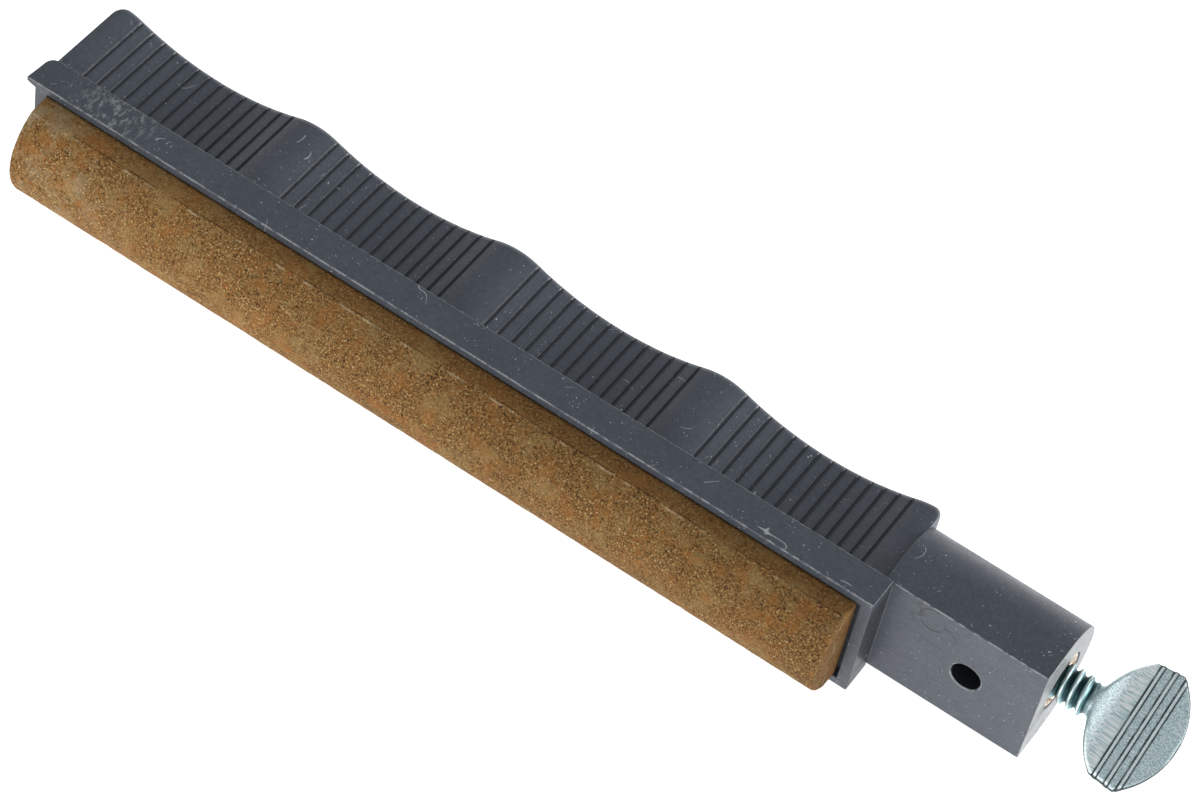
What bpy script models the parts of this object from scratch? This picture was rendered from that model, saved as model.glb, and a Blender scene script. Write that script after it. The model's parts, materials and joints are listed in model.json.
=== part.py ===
"""Guided-rod sharpening hone with a convex stone.

Its pieces are a moulded holder, the stone, the adhesive that bonds it, a threaded
insert and the thumbscrew that clamps the guide rod.

The hone is drawn in its own axes and then laid on its side by one empty.
Hone axes: +X runs from the toe to the thumbscrew, +Z from the stone side to the
grip's back, Y across, with the middle plane at Y = 0 and the plate's underside
at Z = 0. Lying on its side, the hone rests on one lip and on the round boss.
"""
import math

import bmesh
import bpy
from mathutils import Vector

MM = 0.001

# Plate and its two side lips
PLATE_LENGTH = 105.4 * MM
PLATE_WIDTH = 15.0 * MM
PLATE_HEIGHT = 4.0 * MM
PLATE_EDGE = 0.3 * MM            # chamfer along the plate's lower edges
LIP_REACH = 1.15 * MM            # how far a lip runs past the plate's toe end
LIP_THICKNESS = 0.9 * MM
LIP_TIP_THICKNESS = 0.45 * MM
LIP_CORNER = 1.1 * MM            # radius of the lip's upper corner
LIP_ROOT = 2.1 * MM              # how far the lip's end piece runs back into the plate
LIP_ROOT_THICKNESS = 1.8 * MM

# Grip with finger scallops and grooves on both sides
GRIP_START = -0.6 * MM
GRIP_END = 104.6 * MM
GRIP_WIDTH = 13.0 * MM
GRIP_TOP = 16.0 * MM
GRIP_ROOT = 3.0 * MM             # the grip starts inside the plate
GRIP_EDGE = 1.4 * MM             # rounding of the back's long edges
GRIP_EDGE_STEPS = 4
GRIP_CORNER = 1.3 * MM           # rounding of the back at the grip's two ends
SCALLOP_FIRST = 12.6 * MM
SCALLOP_SPACING = 26.17 * MM
SCALLOP_COUNT = 4
SCALLOP_HALF = 10.6 * MM         # half the length of a scallop's hollow arc
SCALLOP_RADIUS = 29.3 * MM       # radius of that arc; round crests join the arcs
CREST_STEPS = 4
GROOVES_PER_SCALLOP = 14
GROOVE_SPACING = 1.57 * MM
GROOVE_WIDTH = 0.45 * MM
GROOVE_DEPTH = 0.3 * MM

# Boss: a round bar with one flat, cross-drilled for the guide rod
BOSS_START = 104.5 * MM
BOSS_END = 123.55 * MM
BOSS_RADIUS = 7.5 * MM
BOSS_AXIS_Z = 8.5 * MM
BOSS_FLAT_HALF = 7.15 * MM
BOSS_FLAT_Z = 4.0 * MM
BOSS_SEGMENTS = 40
ROD_HOLE_X = 115.6 * MM
ROD_HOLE_RADIUS = 1.7 * MM
SCREW_AXIS_Z = 10.0 * MM
POCKET_RADIUS = 3.6 * MM         # holds the insert
POCKET_DEPTH = 6.1 * MM
SCREW_BORE_RADIUS = 2.55 * MM    # from the pocket to just past the rod hole
SCREW_BORE_DEPTH = 10.4 * MM

# Stone, bonded in a shallow tray in the plate's underside
STONE_START = 1.6 * MM
STONE_LENGTH = 102.0 * MM
STONE_WIDTH = 12.7 * MM
STONE_SEAT = 0.3 * MM            # how far the stone's base stands inside the tray
TRAY_DEPTH = 1.25 * MM
TRAY_CLEARANCE = 0.3 * MM
TRAY_END_CLEARANCE = 0.45 * MM
ADHESIVE_THICKNESS = 0.35 * MM
ADHESIVE_MARGIN = 0.4 * MM       # the stone overhangs the adhesive by this all round
ADHESIVE_CORNER = 0.8 * MM
STONE_WALL = 2.1 * MM            # height of the straight side walls at the boss end
STONE_DEPTH_TOE = 6.2 * MM       # from the plate to the crown, at the toe end
STONE_DEPTH_HEEL = 5.8 * MM      # the same at the boss end
STONE_END_SLOPE = 0.08           # run of the boss-end face per unit of height
STONE_ARC_STEPS = 28
STONE_STATIONS = 6
STONE_EDGE = 0.35 * MM

# Threaded insert
INSERT_OUTER = 3.3 * MM
INSERT_INNER = 2.53 * MM
INSERT_LENGTH = 5.75 * MM
INSERT_CHAMFER = 0.25 * MM
INSERT_SET_BACK = 0.05 * MM
INSERT_SEGMENTS = 48

# Thumbscrew: threaded shank, neck and a spade head with three ribs a side
SCREW_TIP = 118.0 * MM
SCREW_THREAD_END = 127.2 * MM
THREAD_CREST = 2.22 * MM
THREAD_ROOT = 1.72 * MM
THREAD_PITCH = 1.1 * MM
THREAD_STEPS = 6                 # rings per turn of thread
THREAD_RUN_OUT = 0.8 * MM
RING_POINTS = 28
HEAD_TURN = math.radians(26.4)   # how far the head stands turned from the middle plane
HEAD_LENGTH = 9.8 * MM
HEAD_NECK_HALF = 1.72 * MM
HEAD_FOOT = 0.3 * MM             # where the inner arc would close at the neck
HEAD_SHOULDER = 3.6 * MM         # where the inner arc ends and the straight run begins
HEAD_SHOULDER_HALF = 6.7 * MM
HEAD_CORNER = 6.5 * MM           # where the straight run ends and the outer arc begins
HEAD_HALF_WIDTH = 7.0 * MM
HEAD_BLEND = 0.3                 # the share of the head over which the neck thins to a blade
HEAD_HALF_THICK = 0.55 * MM
HEAD_RIBS = (4.23 * MM, 5.64 * MM, 6.97 * MM)
HEAD_RIB_WIDTH = 0.32 * MM
HEAD_RIB_HEIGHT = 0.17 * MM
HEAD_RIB_FLANK = 0.1 * MM
HEAD_SQUARENESS = 7.0            # exponent of the head's rounded-box section

REST_HEIGHT = PLATE_WIDTH / 2    # the middle plane's height with the hone on its side


def clear_scene():
    for obj in list(bpy.data.objects):
        bpy.data.objects.remove(obj, do_unlink=True)


def make_material(name, colour, roughness, metallic=0.0):
    material = bpy.data.materials.new(name)
    material.use_nodes = True
    shader = material.node_tree.nodes["Principled BSDF"]
    shader.inputs["Base Color"].default_value = (*colour, 1.0)
    shader.inputs["Roughness"].default_value = roughness
    shader.inputs["Metallic"].default_value = metallic
    material.diffuse_color = (*colour, 1.0)
    return material


def object_from_bmesh(name, bm, parent=None, location=(0.0, 0.0, 0.0), turn=0.0):
    bmesh.ops.recalc_face_normals(bm, faces=bm.faces)
    mesh = bpy.data.meshes.new(name)
    bm.to_mesh(mesh)
    bm.free()
    obj = bpy.data.objects.new(name, mesh)
    bpy.context.scene.collection.objects.link(obj)
    obj.parent = parent
    obj.location = location
    obj.rotation_euler = (turn, 0.0, 0.0)
    return obj


def loft(rings):
    """A closed body through rings of equal length, with a flat cap at each end."""
    bm = bmesh.new()
    rows = [[bm.verts.new(point) for point in ring] for ring in rings]
    count = len(rows[0])
    for low, high in zip(rows, rows[1:]):
        for i in range(count):
            j = (i + 1) % count
            bm.faces.new((low[i], low[j], high[j], high[i]))
    bm.faces.new(reversed(rows[0]))
    bm.faces.new(rows[-1])
    return bm


def prism_along_x(section, start, end):
    return loft([[Vector((x, y, z)) for y, z in section] for x in (start, end)])


def cylinder(radius, start, end, centre, axis, segments):
    """A cylinder from start to end along X or Z, through centre on the other two axes."""
    rings = []
    for at in (start, end):
        ring = []
        for i in range(segments):
            a = 2 * math.pi * i / segments
            u, v = radius * math.cos(a), radius * math.sin(a)
            if axis == "X":
                ring.append(Vector((at, centre[1] + u, centre[2] + v)))
            else:
                ring.append(Vector((centre[0] + u, centre[1] + v, at)))
        rings.append(ring)
    return loft(rings)


def boolean(target, tool, operation):
    """Apply a Boolean and remove the tool."""
    modifier = target.modifiers.new(operation.lower(), "BOOLEAN")
    modifier.operation = operation
    modifier.solver = "EXACT"
    modifier.object = tool
    bpy.context.view_layer.update()
    graph = bpy.context.evaluated_depsgraph_get()
    mesh = bpy.data.meshes.new_from_object(target.evaluated_get(graph))
    target.modifiers.clear()
    target.data = mesh
    bpy.data.objects.remove(tool, do_unlink=True)


def smooth_by_angle(obj, degrees):
    obj.data.shade_smooth()
    obj.data.set_sharp_from_angle(angle=math.radians(degrees))


def corner_arc(radius, steps):
    """Inset and drop pairs along a quarter round, from the side wall to the top."""
    pairs = []
    for k in range(steps + 1):
        a = math.pi / 2 * k / steps
        pairs.append((radius * (1 - math.cos(a)), radius * (1 - math.sin(a))))
    return pairs


def scallop_inset(x):
    """How far a side wall is cut in at x: hollow arcs joined smoothly by round crests."""
    slope = SCALLOP_HALF / SCALLOP_RADIUS
    rise = 1 - math.sqrt(1 - slope ** 2)
    crest_radius = (SCALLOP_SPACING / 2 - SCALLOP_HALF) / slope
    centres = [SCALLOP_FIRST + n * SCALLOP_SPACING for n in range(SCALLOP_COUNT)]
    away = min(abs(x - centre) for centre in centres)
    if away < SCALLOP_HALF:
        hollow = math.sqrt(SCALLOP_RADIUS ** 2 - away ** 2) - SCALLOP_RADIUS
        return (crest_radius + SCALLOP_RADIUS) * rise + hollow
    to_crest = SCALLOP_SPACING / 2 - away
    return crest_radius - math.sqrt(crest_radius ** 2 - to_crest ** 2)


def end_drop(x):
    """How far the grip's back is rounded down near its two ends."""
    away = min(x - GRIP_START, GRIP_END - x)
    if away >= GRIP_CORNER:
        return 0.0
    return GRIP_CORNER - math.sqrt(GRIP_CORNER ** 2 - (GRIP_CORNER - away) ** 2)


def grip_stations():
    """X stations of the grip, each with its groove depth."""
    stations = {}
    for k in range(4):
        away = GRIP_CORNER * (1 - math.cos(math.pi / 2 * k / 3))
        stations[GRIP_START + away] = 0.0
        stations[GRIP_END - away] = 0.0
    for n in range(SCALLOP_COUNT):
        centre = SCALLOP_FIRST + n * SCALLOP_SPACING
        crest_half = SCALLOP_SPACING / 2 - SCALLOP_HALF
        for k in range(CREST_STEPS):
            away = SCALLOP_HALF + crest_half * k / CREST_STEPS
            stations[centre - away] = 0.0
            stations[centre + away] = 0.0
        for g in range(GROOVES_PER_SCALLOP):
            x = centre + (g - (GROOVES_PER_SCALLOP - 1) / 2) * GROOVE_SPACING
            stations[x - GROOVE_WIDTH / 2] = 0.0
            stations[x] = GROOVE_DEPTH
            stations[x + GROOVE_WIDTH / 2] = 0.0
    return sorted(stations.items())


def grip_body():
    arc = corner_arc(GRIP_EDGE, GRIP_EDGE_STEPS)
    rings = []
    for x, groove in grip_stations():
        half = GRIP_WIDTH / 2 - scallop_inset(x)
        top = GRIP_TOP - end_drop(x)
        side = [(half - groove, GRIP_ROOT), (half - groove, top - GRIP_EDGE)]
        side += [(half - inset, top - drop) for inset, drop in arc[1:]]
        ring = [Vector((x, y, z)) for y, z in side]
        ring += [Vector((x, -y, z)) for y, z in reversed(side)]
        rings.append(ring)
    return loft(rings)


def plate_body():
    half = PLATE_WIDTH / 2
    section = [(half - PLATE_EDGE, 0.0), (half, PLATE_EDGE), (half, PLATE_HEIGHT),
               (-half, PLATE_HEIGHT), (-half, PLATE_EDGE), (-half + PLATE_EDGE, 0.0)]
    return prism_along_x(section, 0.0, PLATE_LENGTH)


def lip_body(side):
    """The end of one lip, running past the plate's toe end."""
    outer = side * PLATE_WIDTH / 2
    outline = [(LIP_ROOT, 0.0), (-LIP_REACH, 0.0)]
    for k in range(5):
        a = math.pi / 2 * k / 4
        outline.append((-LIP_REACH + LIP_CORNER * (1 - math.cos(a)),
                        PLATE_HEIGHT - LIP_CORNER * (1 - math.sin(a))))
    outline.append((LIP_ROOT, PLATE_HEIGHT))
    slope = (LIP_THICKNESS - LIP_TIP_THICKNESS) / LIP_REACH
    rings = [[Vector((x, outer, z)) for x, z in outline],
             [Vector((x, outer - side * min(LIP_THICKNESS + slope * x, LIP_ROOT_THICKNESS), z))
              for x, z in outline]]
    return loft(rings)


def boss_root():
    """Ties the boss into the plate, inside both."""
    half = BOSS_FLAT_HALF - 0.2 * MM
    return box((BOSS_START + 0.1 * MM, -half, BOSS_FLAT_Z - 1 * MM),
               (PLATE_LENGTH - 0.1 * MM, half, BOSS_FLAT_Z + 1 * MM))


def boss_body():
    section = [(-BOSS_FLAT_HALF, BOSS_FLAT_Z), (BOSS_FLAT_HALF, BOSS_FLAT_Z)]
    for i in range(BOSS_SEGMENTS + 1):
        a = math.pi * i / BOSS_SEGMENTS
        section.append((BOSS_RADIUS * math.cos(a), BOSS_AXIS_Z + BOSS_RADIUS * math.sin(a)))
    return prism_along_x(section, BOSS_START, BOSS_END)


def box(low, high):
    """A box between two corners."""
    corners = [(low[0], low[1]), (high[0], low[1]), (high[0], high[1]), (low[0], high[1])]
    return loft([[Vector((x, y, z)) for x, y in corners] for z in (low[2], high[2])])


def tray_cutter():
    half = STONE_WIDTH / 2 + TRAY_CLEARANCE
    return box((STONE_START - TRAY_CLEARANCE, -half, -1 * MM),
               (STONE_START + STONE_LENGTH + TRAY_END_CLEARANCE, half, TRAY_DEPTH))


def build_holder(parent, material):
    holder = object_from_bmesh("holder", plate_body(), parent)
    tools = [lip_body(1), lip_body(-1), grip_body(), boss_root(), boss_body()]
    for bm in tools:
        boolean(holder, object_from_bmesh("tool", bm, parent), "UNION")
    rod = cylinder(ROD_HOLE_RADIUS, BOSS_FLAT_Z - 1 * MM, GRIP_TOP + 1 * MM,
                   (ROD_HOLE_X, 0.0, 0.0), "Z", 28)
    pocket = cylinder(POCKET_RADIUS, BOSS_END - POCKET_DEPTH, BOSS_END + 1 * MM,
                      (0.0, 0.0, SCREW_AXIS_Z), "X", 40)
    bore = cylinder(SCREW_BORE_RADIUS, BOSS_END - SCREW_BORE_DEPTH, BOSS_END,
                    (0.0, 0.0, SCREW_AXIS_Z), "X", 32)
    for bm in (rod, bore, pocket, tray_cutter()):
        boolean(holder, object_from_bmesh("tool", bm, parent), "DIFFERENCE")
    smooth_by_angle(holder, 25)
    holder.data.materials.clear()
    holder.data.materials.append(material)
    return holder


def stone_section(x, depth, face):
    """The stone's section at x: flat on the bond, straight walls, convex crown."""
    half = STONE_WIDTH / 2
    base, wall = STONE_SEAT, -(STONE_WALL + depth - STONE_DEPTH_HEEL)
    sag = depth + wall
    radius = (half ** 2 + sag ** 2) / (2 * sag)
    sweep = math.asin(half / radius)
    points = [(half - STONE_EDGE, base), (-half + STONE_EDGE, base),
              (-half, base - STONE_EDGE)]
    for i in range(STONE_ARC_STEPS + 1):
        a = sweep * (2 * i / STONE_ARC_STEPS - 1)
        points.append((radius * math.sin(a), -depth + radius * (1 - math.cos(a))))
    points.append((half, base - STONE_EDGE))
    return [Vector((x + face * z, y, z)) for y, z in points]


def build_stone(parent, material):
    rings = []
    for i in range(STONE_STATIONS + 1):
        along = i / STONE_STATIONS
        depth = STONE_DEPTH_TOE + (STONE_DEPTH_HEEL - STONE_DEPTH_TOE) * along
        face = STONE_END_SLOPE if i == STONE_STATIONS else 0.0
        rings.append(stone_section(STONE_START + STONE_LENGTH * along, depth, face))
    stone = object_from_bmesh("stone", loft(rings), parent)
    smooth_by_angle(stone, 25)
    stone.data.materials.append(material)
    return stone


def build_adhesive(parent, material):
    """A thin pad with rounded corners between the tray's floor and the stone."""
    long_half = STONE_LENGTH / 2 - ADHESIVE_MARGIN
    wide_half = STONE_WIDTH / 2 - ADHESIVE_MARGIN
    middle = STONE_START + STONE_LENGTH / 2
    outline = []
    for quarter, (sx, sy) in enumerate(((1, 1), (-1, 1), (-1, -1), (1, -1))):
        for k in range(5):
            a = math.pi / 2 * (quarter + k / 4)
            outline.append((middle + sx * (long_half - ADHESIVE_CORNER) + ADHESIVE_CORNER * math.cos(a),
                            sy * (wide_half - ADHESIVE_CORNER) + ADHESIVE_CORNER * math.sin(a)))
    low = (STONE_SEAT + TRAY_DEPTH - ADHESIVE_THICKNESS) / 2
    rings = [[Vector((x, y, z)) for x, y in outline] for z in (low, low + ADHESIVE_THICKNESS)]
    adhesive = object_from_bmesh("adhesive", loft(rings), parent)
    adhesive.data.materials.append(material)
    return adhesive


def build_insert(parent, material):
    c = INSERT_CHAMFER
    profile = [(0.0, INSERT_INNER + c), (c, INSERT_INNER),
               (INSERT_LENGTH - c, INSERT_INNER), (INSERT_LENGTH, INSERT_INNER + c),
               (INSERT_LENGTH, INSERT_OUTER - c), (INSERT_LENGTH - c, INSERT_OUTER),
               (c, INSERT_OUTER), (0.0, INSERT_OUTER - c)]
    bm = bmesh.new()
    columns = []
    for i in range(INSERT_SEGMENTS):
        a = 2 * math.pi * i / INSERT_SEGMENTS
        columns.append([bm.verts.new((-x, r * math.cos(a), r * math.sin(a))) for x, r in profile])
    for i, column in enumerate(columns):
        following = columns[(i + 1) % INSERT_SEGMENTS]
        for j in range(len(profile)):
            k = (j + 1) % len(profile)
            bm.faces.new((column[j], column[k], following[k], following[j]))
    insert = object_from_bmesh("threaded_insert", bm, parent,
                               (BOSS_END - INSERT_SET_BACK, 0.0, SCREW_AXIS_Z))
    smooth_by_angle(insert, 25)
    insert.data.materials.append(material)
    return insert


def thread_ring(x):
    """One ring of the right-hand thread: a triangular ridge that climbs with the angle."""
    fade = min(1.0, (x + THREAD_RUN_OUT / 4) / THREAD_RUN_OUT,
               (SCREW_THREAD_END - SCREW_TIP - x) / THREAD_RUN_OUT)
    ring = []
    for i in range(RING_POINTS):
        a = 2 * math.pi * i / RING_POINTS
        phase = (x / THREAD_PITCH - i / RING_POINTS) % 1.0
        ridge = 1 - abs(2 * phase - 1)
        r = THREAD_ROOT + (THREAD_CREST - THREAD_ROOT) * ridge * max(fade, 0.0)
        ring.append(Vector((x, r * math.cos(a), r * math.sin(a))))
    return ring


def arc_height(run, reach, height):
    """Height of an arc at a run from its foot, where it reaches the given height at reach."""
    radius = (reach ** 2 + height ** 2) / (2 * reach)
    return math.sqrt(max(2 * radius * run - run ** 2, 0.0)) if run > 0 else 0.0


def head_half_width(x):
    """Half the head's width: an arc out of the neck, a straight run, an arc to the tip."""
    if x > HEAD_CORNER:
        return arc_height(HEAD_LENGTH - x, HEAD_LENGTH - HEAD_CORNER, HEAD_HALF_WIDTH)
    if x > HEAD_SHOULDER:
        along = (x - HEAD_SHOULDER) / (HEAD_CORNER - HEAD_SHOULDER)
        return HEAD_SHOULDER_HALF + (HEAD_HALF_WIDTH - HEAD_SHOULDER_HALF) * along
    inner = arc_height(x - HEAD_FOOT, HEAD_SHOULDER - HEAD_FOOT, HEAD_SHOULDER_HALF)
    return max(inner, HEAD_NECK_HALF)


def head_half_thickness(x):
    s = x / HEAD_LENGTH
    blend = max(1 - s / HEAD_BLEND, 0.0) ** 2
    thick = HEAD_HALF_THICK + (HEAD_NECK_HALF - HEAD_HALF_THICK) * blend
    for rib in HEAD_RIBS:
        away = abs(x - rib) - HEAD_RIB_WIDTH / 2
        thick += HEAD_RIB_HEIGHT * min(max(1 - away / HEAD_RIB_FLANK, 0.0), 1.0)
    return thick


def head_ring(x, start):
    s = x / HEAD_LENGTH
    wide, thick = head_half_width(x), head_half_thickness(x)
    power = 2 / (2 + (HEAD_SQUARENESS - 2) * min(s / HEAD_BLEND, 1.0))
    ring = []
    for i in range(RING_POINTS):
        a = 2 * math.pi * i / RING_POINTS
        c, d = math.cos(a), math.sin(a)
        ring.append(Vector((start + x,
                            thick * math.copysign(abs(c) ** power, c),
                            wide * math.copysign(abs(d) ** power, d))))
    return ring


def head_stations():
    stations = {HEAD_LENGTH * k / 30 for k in range(30)}
    stations |= {HEAD_LENGTH * (1 - 0.001), HEAD_LENGTH * 0.985, HEAD_LENGTH * 0.995}
    stations |= {HEAD_SHOULDER, HEAD_CORNER}
    for rib in HEAD_RIBS:
        for edge in (HEAD_RIB_WIDTH / 2, HEAD_RIB_WIDTH / 2 + HEAD_RIB_FLANK):
            stations |= {rib - edge, rib + edge}
    return sorted(stations)


def build_thumbscrew(parent, material):
    length = SCREW_THREAD_END - SCREW_TIP
    steps = round(length / THREAD_PITCH * THREAD_STEPS)
    rings = [thread_ring(length * k / steps) for k in range(steps + 1)]
    rings += [head_ring(x, length) for x in head_stations() if x > 0]
    screw = object_from_bmesh("thumbscrew", loft(rings), parent,
                              (SCREW_TIP, 0.0, SCREW_AXIS_Z), HEAD_TURN)
    smooth_by_angle(screw, 35)
    screw.data.materials.append(material)
    return screw


def main():
    clear_scene()
    middle_x = (SCREW_THREAD_END + HEAD_LENGTH - LIP_REACH) / 2
    head_top = SCREW_AXIS_Z + HEAD_HALF_WIDTH * math.cos(HEAD_TURN)
    middle_z = (head_top - STONE_DEPTH_TOE) / 2
    frame = bpy.data.objects.new("hone_frame", None)
    bpy.context.scene.collection.objects.link(frame)
    frame.rotation_euler = (-math.pi / 2, 0.0, 0.0)
    frame.location = (-middle_x, -middle_z, REST_HEIGHT)
    build_holder(frame, make_material("holder_plastic", (0.075, 0.082, 0.097), 0.42))
    build_stone(frame, make_material("stone_abrasive", (0.33, 0.21, 0.11), 0.9))
    build_adhesive(frame, make_material("adhesive_film", (0.5, 0.42, 0.25), 0.45))
    build_insert(frame, make_material("insert_brass", (0.65, 0.5, 0.28), 0.35, 1.0))
    build_thumbscrew(frame, make_material("screw_zinc", (0.66, 0.72, 0.74), 0.38, 1.0))


main()
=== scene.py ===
"""The looks of a guided-rod sharpening hone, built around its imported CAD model.

Every piece is modelled in the hone's own axes, in millimetres: x runs from the plate's
toe end to the thumbscrew, z from the plate's underside to the grip's back, and y across,
with the middle plane at y = 0. at() carries such a point into the frame, where the hone
lies on its side.
"""
import json
import math

import bmesh
import bpy
from mathutils import Matrix, Vector, noise


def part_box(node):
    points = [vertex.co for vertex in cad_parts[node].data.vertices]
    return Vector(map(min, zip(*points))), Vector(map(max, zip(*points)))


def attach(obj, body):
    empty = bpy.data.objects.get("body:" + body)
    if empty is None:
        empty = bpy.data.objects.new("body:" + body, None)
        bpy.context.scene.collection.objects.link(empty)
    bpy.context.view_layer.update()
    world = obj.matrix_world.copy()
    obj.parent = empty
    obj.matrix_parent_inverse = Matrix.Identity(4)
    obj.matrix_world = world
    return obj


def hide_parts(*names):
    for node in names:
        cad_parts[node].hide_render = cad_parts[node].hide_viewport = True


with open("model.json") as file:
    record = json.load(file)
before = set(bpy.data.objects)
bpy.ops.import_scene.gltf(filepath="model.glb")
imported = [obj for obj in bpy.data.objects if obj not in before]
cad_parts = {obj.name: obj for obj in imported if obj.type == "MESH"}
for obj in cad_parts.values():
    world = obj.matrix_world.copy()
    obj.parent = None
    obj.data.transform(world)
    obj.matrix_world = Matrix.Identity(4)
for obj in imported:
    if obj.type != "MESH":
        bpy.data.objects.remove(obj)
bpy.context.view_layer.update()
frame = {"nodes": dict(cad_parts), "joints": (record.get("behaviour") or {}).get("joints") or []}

MM = 0.001

# ---------------------------------------------------------------- the hone's own axes

LIP_REACH = 1.15                 # how far the lips stand out past the plate at the toe
HOLDER_LOW, HOLDER_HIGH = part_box("holder")
TOE_X = HOLDER_LOW.x + LIP_REACH * MM
BASE_Y = HOLDER_LOW.y
MIDDLE_Z = (HOLDER_LOW.z + HOLDER_HIGH.z) / 2


def at(x, y, z):
    """A point of the frame, in metres, from the hone's own axes."""
    return Vector((TOE_X + x * MM, BASE_Y + z * MM, MIDDLE_Z - y * MM))


def local_x(world_x):
    return (world_x - TOE_X) / MM


def local_z(world_y):
    return (world_y - BASE_Y) / MM


# Lengths taken from the frame, in millimetres
PLATE_HALF = (HOLDER_HIGH.z - HOLDER_LOW.z) / MM / 2
BOSS_END = local_x(HOLDER_HIGH.x)
BACK = local_z(HOLDER_HIGH.y)
STONE_LOW, STONE_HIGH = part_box("stone")
STONE_START = local_x(STONE_LOW.x)
STONE_END = local_x(STONE_HIGH.x)
STONE_HALF = (STONE_HIGH.z - STONE_LOW.z) / MM / 2
STONE_CROWN = -local_z(STONE_LOW.y)
STONE_BASE = local_z(STONE_HIGH.y)
SCREW_LOW, SCREW_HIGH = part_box("thumbscrew")
SCREW_TIP = local_x(SCREW_LOW.x)
SCREW_END = local_x(SCREW_HIGH.x)
SCREW_JOINT = frame["joints"][0]
SCREW_Z = local_z(SCREW_JOINT["pos_m"][1])
NECK = local_x(SCREW_JOINT["pos_m"][0])

# The holder, in millimetres
PLATE_LENGTH = 105.4
PLATE_TOP = 4.0
BOSS_START = 104.5
BOSS_RADIUS = 7.5
BOSS_AXIS_Z = 8.5
BOSS_FLAT_HALF = 7.15
GRIP_START, GRIP_END = -0.6, 104.6
GRIP_HALF = 6.5
SCALLOP_FIRST = 12.6
SCALLOP_SPACING = 26.17
SCALLOP_COUNT = 4
SCALLOP_HALF = 10.6
SCALLOP_RADIUS = 29.3
GROOVES = 14
GROOVE_SPACING = 1.57
ROD_HOLE_X = 115.6
ROD_HOLE_RADIUS = 1.7
BORE_RADIUS = 2.45
BORE_DEPTH = 10.4
POCKET_DEPTH = 6.0               # how deep the insert's pocket is
MARK = (110.5, -5.3)             # the ejector pin's mark on the boss's flat, as (x, y)
MARK_RADIUS = 1.5


# ---------------------------------------------------------------- mesh helpers

def loft(bm, rings, closed=False):
    """Joins rings of equal length with quads; open ends get a cap each."""
    rows = [[bm.verts.new(point) for point in ring] for ring in rings]
    pairs = list(zip(rows, rows[1:]))
    if closed:
        pairs.append((rows[-1], rows[0]))
    for low, high in pairs:
        for i in range(len(low)):
            j = (i + 1) % len(low)
            bm.faces.new((low[i], low[j], high[j], high[i]))
    if not closed:
        bm.faces.new(reversed(rows[0]))
        bm.faces.new(rows[-1])


def solid(name, rings, closed=False):
    bm = bmesh.new()
    loft(bm, rings, closed)
    bmesh.ops.recalc_face_normals(bm, faces=bm.faces)
    mesh = bpy.data.meshes.new(name)
    bm.to_mesh(mesh)
    bm.free()
    obj = bpy.data.objects.new(name, mesh)
    bpy.context.scene.collection.objects.link(obj)
    return obj


def boolean(target, tool, operation):
    modifier = target.modifiers.new(operation.lower(), "BOOLEAN")
    modifier.operation = operation
    modifier.solver = "EXACT"
    modifier.object = tool
    bpy.context.view_layer.update()
    graph = bpy.context.evaluated_depsgraph_get()
    mesh = bpy.data.meshes.new_from_object(target.evaluated_get(graph))
    target.modifiers.clear()
    target.data = mesh
    bpy.data.objects.remove(tool, do_unlink=True)


def shade(obj, degrees):
    obj.data.shade_smooth()
    obj.data.set_sharp_from_angle(angle=math.radians(degrees))
    weighted = obj.modifiers.new("even_shading", "WEIGHTED_NORMAL")
    weighted.keep_sharp = True
    weighted.weight = 100


def arc(centre, radius, start, end, steps):
    """Points of an arc in a plane, from one angle to another, in degrees."""
    points = []
    for k in range(steps + 1):
        a = math.radians(start + (end - start) * k / steps)
        points.append((centre[0] + radius * math.cos(a), centre[1] + radius * math.sin(a)))
    return points


def rounded(corners, steps=4):
    """An outline whose corners (a, b, radius) are rounded, counter-clockwise."""
    points = []
    count = len(corners)
    for i, (a, b, radius) in enumerate(corners):
        here = Vector((a, b))
        before = (Vector(corners[i - 1][:2]) - here).normalized()
        after = (Vector(corners[(i + 1) % count][:2]) - here).normalized()
        if radius <= 0.0:
            points.append((a, b))
            continue
        half = before.angle(after) / 2
        bisector = (before + after).normalized()
        centre = here + bisector * (radius / math.sin(half))
        start = here + before * (radius / math.tan(half)) - centre
        finish = here + after * (radius / math.tan(half)) - centre
        for k in range(steps + 1):
            t = k / steps
            points.append(tuple(centre + start.slerp(finish, t).normalized() * radius))
    return points


def offset(points, distance):
    """A closed outline moved inwards by a small distance."""
    inner = []
    count = len(points)
    area = sum(points[i - 1][0] * points[i][1] - points[i][0] * points[i - 1][1] for i in range(count))
    turn = 1.0 if area > 0 else -1.0
    for i, point in enumerate(points):
        before = (Vector(point) - Vector(points[i - 1])).normalized()
        after = (Vector(points[(i + 1) % count]) - Vector(point)).normalized()
        inward = Vector((-before.y - after.y, before.x + after.x)) * turn
        inward.normalize()
        square = Vector((-before.y, before.x)) * turn
        stretch = distance / max(inward.dot(square), 0.5)
        inner.append(tuple(Vector(point) + inward * stretch))
    return inner


def round_drop(run, radius):
    """How far a rounding has drawn a surface in, at a run from the end."""
    return radius - math.sqrt(max(radius ** 2 - (radius - run) ** 2, 0.0)) if run < radius else 0.0


def prism_x(section, start, end, low_round, high_round, steps=3):
    """A (y, z) section swept along x, with its end edges rounded."""
    rings = []
    for origin, way, radius in ((start, 1, low_round), (end, -1, high_round)):
        for k in range(steps + 1):
            a = math.pi / 2 * (k if way > 0 else steps - k) / steps
            inset, run = radius * (1 - math.sin(a)), radius * (1 - math.cos(a))
            rings.append((origin + way * run, offset(section, inset) if inset > 1e-6 else section))
    return [[at(x, y, z) for y, z in ring] for x, ring in rings]


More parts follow.
